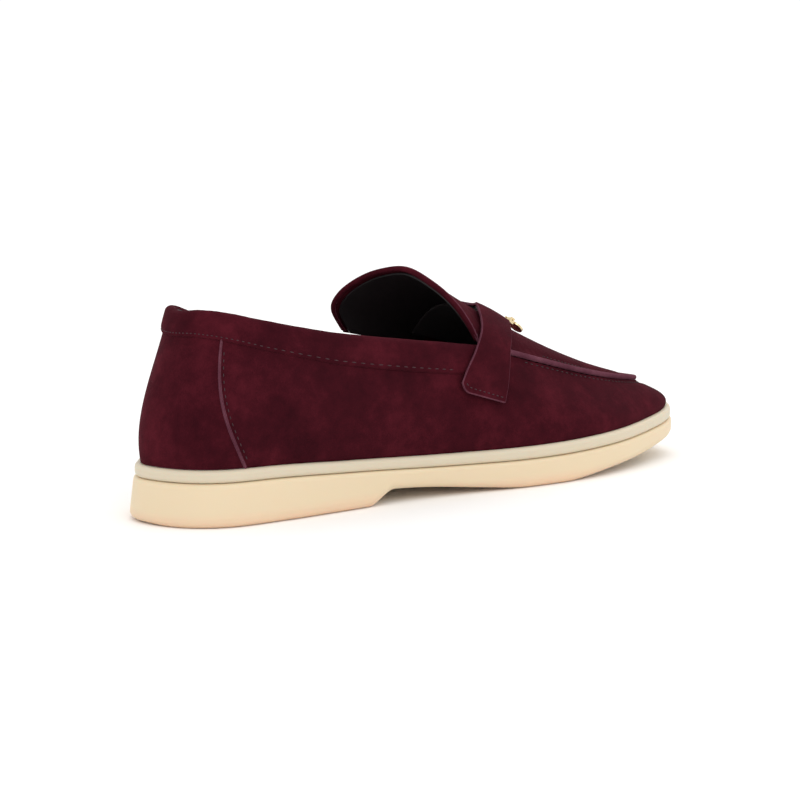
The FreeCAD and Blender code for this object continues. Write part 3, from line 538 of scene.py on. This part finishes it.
def leather(name, skin, region, rows, columns, flip=1, depth=0.0, thick=1.3, body="shoe", replaced=(),
            rim=True, smooth=1, faces=wine_suede, edges=cut_edge):
    """Piece cut from a skin, with its thickness inwards and the paler raw fibre on its cut edges."""
    def place(a, b):
        p, q = region(a, b)
        own = depth(p, q) if callable(depth) else depth
        return lifted(skin, p, q, own, flip)
    bm = bmesh.new()
    grid_mesh(bm, rows, columns, place, flip=flip < 0)
    piece = finish_piece(name, bm, faces, body, replaced, smooth=0)
    piece.data.materials.append(edges)
    wall_mod = piece.modifiers.new("thickness", "SOLIDIFY")
    wall_mod.thickness = thick * MM
    wall_mod.offset = -1.0
    wall_mod.use_even_offset = True
    wall_mod.material_offset_rim = 1 if rim else 0
    soft = piece.modifiers.new("worn_edges", "BEVEL")
    soft.width = min(0.3, thick * 0.3) * MM
    soft.segments = 2
    soft.limit_method = "ANGLE"
    soft.angle_limit = math.radians(50)
    soft.material = 1 if rim else -1
    if smooth:
        rounding = piece.modifiers.new("smooth", "SUBSURF")
        rounding.levels = smooth
        rounding.render_levels = smooth
    return piece


def side_region(a, b):
    u = seam_station(1, 0) + (COUNT + seam_station(-1, 0) - seam_station(1, 0)) * a
    limit = 1 - 1.5 * front_share(u) / wall_height(u)
    v = b * limit
    start, end = seam_station(1, v) + 0.012, COUNT + seam_station(-1, v) - 0.012
    return start + (end - start) * a, v


def side_depth(u, v):
    return pucker(u, v) + soft_dents(u, v)


leather("side_wall_suede", wall, side_region, 620, 26, depth=side_depth, replaced=["side_wall"], smooth=0)

# ------------------------------------------------------------------ heel cover
# Suede over the heel counter, closed to the side wall under a narrow rolled edge on each side.


def cover_region(a, b):
    start, end = seam_station(-1, b) + 0.012, seam_station(1, b) - 0.012
    return start + (end - start) * a, b


leather("heel_cover_suede", wall, cover_region, 90, 26, replaced=["heel_cover"], smooth=0)


def seam_roll(side):
    """Rolled edge over a heel seam, with a stitched channel beside it."""
    def place(a, b):
        v = 0.87 * a
        u = seam_station(side, v) + (b - 0.5) * 0.085
        crown = max(0.0, math.sin(math.pi * b)) ** 0.7
        return lifted(wall, u, v, -0.35 + 1.25 * crown * (1 - 0.5 * math.exp(-((b - 0.62) / 0.09) ** 2)))
    return place


rolls = bmesh.new()
grid_mesh(rolls, 90, 12, seam_roll(1))
grid_mesh(rolls, 90, 12, seam_roll(-1))
finish_piece("heel_seam_edges", rolls, cut_edge, "shoe", ["heel_seam_welt"])

# ------------------------------------------------------------------ topline band
# A strip of the same suede folded over the edge of the collar and its foam, stitched close to its lower edge.


def band_edge(u):
    """Lower edge of the topline band as a share of the wall's height."""
    around = min(u % COUNT, COUNT - u % COUNT)
    width = 10.0 + 2.8 * min(around / 4.0, 1.0)
    return 1 - width / wall_height(u)


ROLL = 2.7           # radius of the padded roll
BAND_START, BAND_END = -6.75, 7.1


def band_place(a, b):
    """Outer skirt, roll over the top, and inner skirt."""
    u = BAND_START + (BAND_END - BAND_START) * a
    top = top_of_wall(u)
    face = lifted(wall, u, 0.99, 1.0) - wall(u, 0.99)
    rise = (wall(u, 1.0) - wall(u, 0.9)).normalized()
    outer_share, roll_share = 0.5, 0.8
    swell = 0.25 * math.sin(9.0 * u) + 0.15 * math.sin(23.0 * u + 1.0)
    if b <= outer_share:
        v0, v1 = band_edge(u), 1 - 1.8 / wall_height(u)
        k = b / outer_share
        tuck = 0.8 * math.exp(-((k - 0.16) / 0.07) ** 2)
        fold = 0.15 + 1.05 * min(1.0, k * 9) - tuck * 0.45 + 0.25 * math.sin(math.pi * k)
        return lifted(wall, u, v0 + (v1 - v0) * k, fold)
    centre = top - face * (ROLL - 1.2) - rise * 1.8
    if b <= roll_share:
        turn = (b - outer_share) / (roll_share - outer_share) * math.pi
        return centre + (face * math.cos(turn) + rise * math.sin(turn) * (1.05 + 0.05 * swell)) * ROLL
    down = (b - roll_share) / (1 - roll_share) * 5.0
    return centre - face * ROLL - rise * down


band = bmesh.new()
grid_mesh(band, 320, 34, band_place)
band_piece = finish_piece("topline_band_suede", band, wine_suede, "shoe", ["topline_band"], smooth=0)
band_piece.data.materials.append(cut_edge)
band_wall = band_piece.modifiers.new("thickness", "SOLIDIFY")
band_wall.thickness = 0.9 * MM
band_wall.offset = -1.0
band_wall.material_offset_rim = 1

# ------------------------------------------------------------------ apron and tongue
# One panel of suede: the plug on top of the foot, running back under the saddle strap into a flared tongue.
CREST = [(126, 5, 35.7), (112, 3.5, 40.8), (97, 2, 45.2), (84, 1, 49.8), (70, 0, 55.6), (56, 0, 62.2),
         (42, 0, 69.2), (28, 0, 76.4), (17, 0, 82.6)]
RIM = [(12, -28.8, 64.5), (8.5, -26.5, 73), (4, -22, 82), (-1, -14, 90), (-7, -2, 96.5), (-14, 8, 95.5),
       (-20, 17, 91), (-25, 23.5, 84.5), (-25.5, 27.5, 77), (-18, 29.4, 66)]


def along(points, t):
    """Point at t from 0 to 1 on a smooth open curve through points."""
    s = t * (len(points) - 1)
    i = min(max(int(math.floor(s)), 0), len(points) - 2)
    t = s - i
    p1, p2 = points[i], points[i + 1]
    p0 = points[i - 1] if i > 0 else p1 * 2 - p2
    p3 = points[i + 2] if i + 2 < len(points) else p2 * 2 - p1
    return (p1 * 2 + (p2 - p0) * t + (p0 * 2 - p1 * 5 + p2 * 4 - p3) * t**2
            + (p1 * 3 - p0 - p2 * 3 + p3) * t**3) * 0.5


def stretched(points):
    return [Vector((x * LENGTH, y, z)) for x, y, z in points]


CREST_LINE, RIM_LINE = stretched(CREST), stretched(RIM)


def across(left, middle, right, w):
    return left * (w * (w - 1) / 2) + middle * (1 - w * w) + right * (w * (w + 1) / 2)


def apron(s, w):
    """Apron: s is 0 at the toe and 1 at the throat, w is -1 at the outer edge and 1 at the inner edge."""
    left = top_of_wall(TOE - 0.9 - s * (TOE - 0.9 - OUTER_THROAT))
    right = top_of_wall(TOE + 0.9 + s * (INNER_THROAT - TOE - 0.9))
    return across(left, along(CREST_LINE, s), right, w)


def tongue(a, w):
    """Tongue: a is 0 at the throat and 1 at the rim."""
    base = apron(1.0, w)
    return base + (along(RIM_LINE, (w + 1) / 2) - base) * a


def panel(t, w):
    """Apron and tongue as one smooth skin: t is 0 at the toe and 1 at the tongue's rim."""
    rows = 12
    s = t * rows
    i = min(max(int(math.floor(s)), 0), rows - 1)

    def row(k):
        return apron(k / 9, w) if k <= 9 else tongue((k - 9) / 3, w)
    p1, p2 = row(i), row(i + 1)
    p0 = row(i - 1) if i > 0 else p1 * 2 - p2
    p3 = row(i + 2) if i + 2 <= rows else p2 * 2 - p1
    f = s - i
    return (p1 * 2 + (p2 - p0) * f + (p0 * 2 - p1 * 5 + p2 * 4 - p3) * f**2
            + (p1 * 3 - p0 - p2 * 3 + p3) * f**3) * 0.5


THROAT = 9 / 12         # where the apron becomes the tongue
APRON_EDGE = 170.0      # millimetres along the panel's edge, for spacing the gathers


def panel_region(a, b):
    """Inset from the seam along the apron, and the full width on the tongue."""
    t = 0.018 + 0.982 * a
    half = (panel(t, 1) - panel(t, -1)).length / 2
    inset = 1.3 if t < THROAT else 0.4
    return t, (1 - inset / half) * (2 * b - 1)


def panel_depth(t, w):
    """Puckers beside the seam and a flare at the rim."""
    half = (panel(t, 1) - panel(t, -1)).length / 2
    from_edge = (1 - abs(w)) * half
    fade = max(0.0, 1 - t / THROAT) ** 0.3 if t < THROAT else 0.0
    waves = math.sin(2 * math.pi * t * APRON_EDGE / PUCKER_PITCH)
    gathered = 0.22 * waves * math.exp(-from_edge / 2.6) - 0.7 * math.exp(-((from_edge - 2.8) / 1.5) ** 2)
    flared = 1.1 * max(0.0, (t - 0.94) / 0.06) ** 2
    return gathered * fade + flared


panel_piece = leather("apron_and_tongue_suede", panel, panel_region, 320, 56, flip=-1, depth=panel_depth,
                      body=None, replaced=["apron", "throat_panel", "tongue_outer"], smooth=0)
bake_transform(panel_piece)

# ------------------------------------------------------------------ quarter and vamp linings
# The lining calf and cloth, 0.9 mm thick, cut to the wall and apron behind the suede and the stiffeners.
LINING_DEPTH = -3.2


def quarter_region(a, b):
    u = -5.75 + 12.5 * a
    return u, 0.03 + (0.97 - 0.4 / wall_height(u)) * b


def vamp_region(a, b):
    u = 6.77 + (COUNT - 12.54) * a
    return u, 0.03 + (0.97 - 3.4 / wall_height(u)) * b


def apron_lining_region(a, b):
    s = 0.06 + 0.93 * a
    half = (apron(s, 1) - apron(s, -1)).length / 2
    return s, (1 - 4.4 / half) * (2 * b - 1)


leather("quarter_lining_calf", wall, quarter_region, 220, 16, depth=LINING_DEPTH, thick=0.9,
        replaced=["quarter_lining"], rim=False, smooth=0, faces=dark_calf)
leather("vamp_lining_cloth", wall, vamp_region, 220, 16, depth=LINING_DEPTH, thick=0.9,
        replaced=["vamp_lining"], rim=False, smooth=0, faces=dark_cloth)
leather("apron_lining_cloth", apron, apron_lining_region, 90, 24, flip=-1, depth=LINING_DEPTH, thick=0.9,
        replaced=["apron_lining"], rim=False, smooth=0, faces=dark_cloth)

# ------------------------------------------------------------------ heel grip
# A patch of suede glued inside the back of the collar, flesh side out, that holds the heel.


def grip_region(a, b):
    return -2.1 + 4.2 * a, 0.36 + 0.59 * b


grip_suede = suede("flesh_side_suede", "#16070b", "#1f0a10", "#2a1018")
leather("heel_grip_suede", wall, grip_region, 70, 20, depth=-4.4, thick=0.8, replaced=["heel_grip"], smooth=0,
        faces=grip_suede)

# ------------------------------------------------------------------ apron seam ridge
# The two leather edges drawn together and raised by the hand seam, with their raw fibre on top. The thread
# pulls a dimple into the ridge at every stitch.


def ridge(a, b):
    u = OUTER_THROAT + 0.12 + (INNER_THROAT - OUTER_THROAT - 0.24) * a
    up = ((lifted(wall, u, 0.97, 1.0) - wall(u, 0.97)).normalized() + Vector((0, 0, 1))).normalized()
    run = (top_of_wall(u + 0.01) - top_of_wall(u - 0.01)).normalized()
    side = up.cross(run).normalized()
    turn = 2 * math.pi * b
    ends = min(1.0, a / 0.012, (1 - a) / 0.012)
    pull = 1 - 0.10 * (0.5 + 0.5 * math.cos(2 * math.pi * u * STATION_STEP / PUCKER_PITCH))
    crease = 0.28 * math.exp(-(math.cos(turn) / 0.22) ** 2) * max(0.0, math.sin(turn))
    rise = (1.35 * math.sin(turn) * pull - crease) * ends
    return top_of_wall(u) + side * 1.25 * math.cos(turn) * ends + up * (0.15 + rise)


ridge_mesh = bmesh.new()
grid_mesh(ridge_mesh, 620, 14, ridge)
finish_piece("apron_seam_ridge", ridge_mesh, cut_edge, "shoe", ["apron_piping"], smooth=0)

# ------------------------------------------------------------------ tongue lining and turned edge
# Dark calf under the whole tongue. Its suede is turned over the rim, with the lining's raw edge as a thin
# paler line inside it.


def tongue_lining_region(a, b):
    return THROAT - 0.06 + (1.045 - THROAT) * a, 0.985 * (2 * b - 1)


tongue_lining = leather("tongue_lining_calf", panel, tongue_lining_region, 60, 40, flip=-1, depth=-1.5,
                        thick=0.9, body=None, replaced=["tongue_lining"],
                        rim=False, smooth=0,
                        faces=dark_calf)
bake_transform(tongue_lining)


def turned_edge(first, last):
    """Part of the rolled rim, between two angles round its section."""
    def place(a, b):
        w = 0.975 * (2 * a - 1)
        rim = lifted(panel, 1.0, w, 0.45, -1)
        out = (panel(1.0, w) - panel(0.985, w)).normalized()
        up = (lifted(panel, 1.0, w, 1.0, -1) - panel(1.0, w)).normalized()
        turn = math.radians(first + (last - first) * b)
        return rim + out * (0.2 + 1.15 * math.cos(turn)) + up * (1.25 * math.sin(turn) - 0.9)
    return place


edge_mesh = bmesh.new()
grid_mesh(edge_mesh, 160, 12, turned_edge(-120, 215))
suede_faces = set(edge_mesh.faces)
grid_mesh(edge_mesh, 160, 2, turned_edge(215, 240))
for face in set(edge_mesh.faces) - suede_faces:
    face.material_index = 1
rim_edge = finish_piece("tongue_turned_edge", edge_mesh, wine_suede, None, ["tongue_binding"],
                        smooth=0)
rim_edge.data.materials.append(cut_edge)
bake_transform(rim_edge)

# ------------------------------------------------------------------ saddle strap
# A broad strap of the same suede over the instep, stitched down at both ends, raw-edged, with its lower rear
# corners rounded. A calf backing lies under it.


def tongue_anchor(a, w):
    return lifted(tongue, a, w, 1.0, -1)


def wall_anchor(u, v):
    return lifted(wall, u, v, 1.6)


def apron_anchor(s, w):
    return lifted(apron, s, w, 1.0, -1)


STRAP_REAR = [wall_anchor(5.92, 0.57), wall_anchor(6.16, 0.78), wall_anchor(6.44, 0.98),
              tongue_anchor(0.50, -0.80), apron_anchor(0.955, -0.40), apron_anchor(0.86, 0.0),
              apron_anchor(0.97, 0.42), tongue_anchor(0.20, 0.80), wall_anchor(19.36, 0.98),
              wall_anchor(19.64, 0.78), wall_anchor(19.92, 0.57)]
STRAP_FRONT = [wall_anchor(6.76, 0.44), wall_anchor(6.95, 0.64), wall_anchor(7.22, 0.97),
               apron_anchor(0.89, -0.80), apron_anchor(0.78, -0.40), apron_anchor(0.68, 0.0),
               apron_anchor(0.78, 0.40), apron_anchor(0.89, 0.80), wall_anchor(18.62, 0.97),
               wall_anchor(18.86, 0.64), wall_anchor(19.06, 0.44)]


def strap(k, m):
    """Underside of the strap: k runs from its outer to its inner end, m from its rear to its front edge."""
    rear, front = along(STRAP_REAR, k), along(STRAP_FRONT, k)
    return rear + (front - rear) * m + Vector((0, 0, 2.4 * m * (1 - m) * math.sin(math.pi * k)))


STRAP_FACE = 2.15       # backing, glue and suede above the strap's underside


def corner_cut(m):
    """How far the rounded rear corner takes the strap's end back."""
    return 0.035 * max(0.0, 1 - m / 0.22) ** 2


def strap_region(a, b):
    cut = corner_cut(b)
    return cut + (1 - 2 * cut) * a, b


def backing_region(a, b):
    k, m = strap_region(a, b)
    return 0.02 + 0.96 * k, 0.05 + 0.90 * m


leather("saddle_strap_suede", strap, strap_region, 240, 40, flip=-1, depth=STRAP_FACE,
        replaced=["saddle_strap"], smooth=0)
leather("strap_backing_calf", strap, backing_region, 160, 20, flip=-1, depth=0.7, thick=0.7,
        replaced=["strap_backing"], rim=False, smooth=0, faces=dark_calf)

# ------------------------------------------------------------------ stitches
# Waxed thread, 0.5 mm thick, in the suede's own colour, and darker along the apron. Each stitch shows as a
# short bead, partly sunk into the leather.
wine_thread = stock("waxed_wine_thread", ("#2c0a13", "#39101b"), 0.6, 0.3, 0.02)
dark_thread = stock("waxed_dark_thread", ("#1c080e", "#290d15"), 0.6, 0.3, 0.02)


def stitch_row(bm, count, spot):
    """Adds count stitches. spot(k) gives a point and a point just above it, k from 0 to 1 along the row."""
    for i in range(count):
        start, over = spot((i + 0.22) / count)
        end = spot((i + 0.78) / count)[0]
        run = (end - start).normalized()
        side = (over - start).cross(run).normalized()
        up = run.cross(side)
        turn = Matrix((run, side, up)).transposed().to_4x4()
        half = Matrix.Diagonal(((end - start).length / 2, 0.28, 0.25, 1.0))
        middle = Matrix.Translation((start + end) / 2)
        bmesh.ops.create_uvsphere(bm, u_segments=6, v_segments=6, radius=1.0,
                                  matrix=Matrix.Scale(MM, 4) @ middle @ turn @ half)


def on_skin(skin, p, q, depth, flip=1):
    return lifted(skin, p, q, depth, flip), lifted(skin, p, q, depth + 1.0, flip)


def topline_spot(k):
    u = -6.0 + 11.95 * k
    point = band_place((u - BAND_START) / (BAND_END - BAND_START), 0.08)
    return point, point + lifted(wall, u, 0.9, 1.0) - wall(u, 0.9)


SEAM_ROW = 2.8          # from the apron seam to the stitches on either side of it


def wall_spot(k):
    u = OUTER_THROAT + 0.6 + (INNER_THROAT - OUTER_THROAT - 1.2) * k
    v = 1 - SEAM_ROW / wall_height(u)
    return on_skin(wall, u, v, side_depth(u, v) + 0.1)


def apron_spot(side):
    def spot(k):
        t = THROAT * (0.06 + 0.70 * k)
        half = (panel(t, 1) - panel(t, -1)).length / 2
        w = side * (1 - SEAM_ROW / half)
        return on_skin(panel, t, w, panel_depth(t, w) + 0.1, -1)
    return spot


def heel_spot(side):
    def spot(k):
        v = 0.05 + 0.72 * k
        u = seam_station(side, v) + side * 0.10
        return on_skin(wall, u, v, soft_dents(u, v) + 0.1)
    return spot


def strap_spot(end):
    def spot(k):
        m = 0.06 + 0.88 * k
        inset = 0.022 + corner_cut(m)
        return on_skin(strap, inset if end == 0 else 1 - inset, m, 2.2, -1)
    return spot


def tongue_spot(k):
    w = 0.94 * (2 * k - 1)
    return on_skin(panel, 0.975, w, panel_depth(0.975, w) + 0.05, -1)


for row_name, row_thread, row_body, row_node, rows in (
        ("topline_stitches", wine_thread, "shoe", "topline_stitching", [(88, topline_spot)]),
        ("apron_seam_stitches", dark_thread, "shoe", "apron_stitching",
         [(92, wall_spot), (38, apron_spot(-1)), (38, apron_spot(1))]),
        ("heel_seam_stitches", wine_thread, "shoe", "heel_seam_stitching",
         [(16, heel_spot(1)), (16, heel_spot(-1))]),
        ("strap_end_stitches", wine_thread, "shoe", "strap_stitching",
         [(9, strap_spot(0)), (9, strap_spot(1))]),
        ("tongue_rim_stitches", wine_thread, None, "tongue_stitching", [(30, tongue_spot)])):
    row_mesh = bmesh.new()
    for row_count, row_spot in rows:
        stitch_row(row_mesh, row_count, row_spot)
    threads = finish_piece(row_name, row_mesh, row_thread, row_body, [row_node], smooth=0,
                           merge=0.000001)
    if row_body is None:
        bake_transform(threads)

# ------------------------------------------------------------------ charm
# A small plain disc that swings on a pin between two ears, all in polished pale gold-toned metal.
pale_gold = stock("polished_pale_gold", ("#d8c39a", "#e2cfa8"), 0.22, 0.5, 0.004, metallic=1.0)
for metal_part in ("charm_mount", "charm_pin", "charm_disc"):
    paint_node(metal_part, pale_gold)
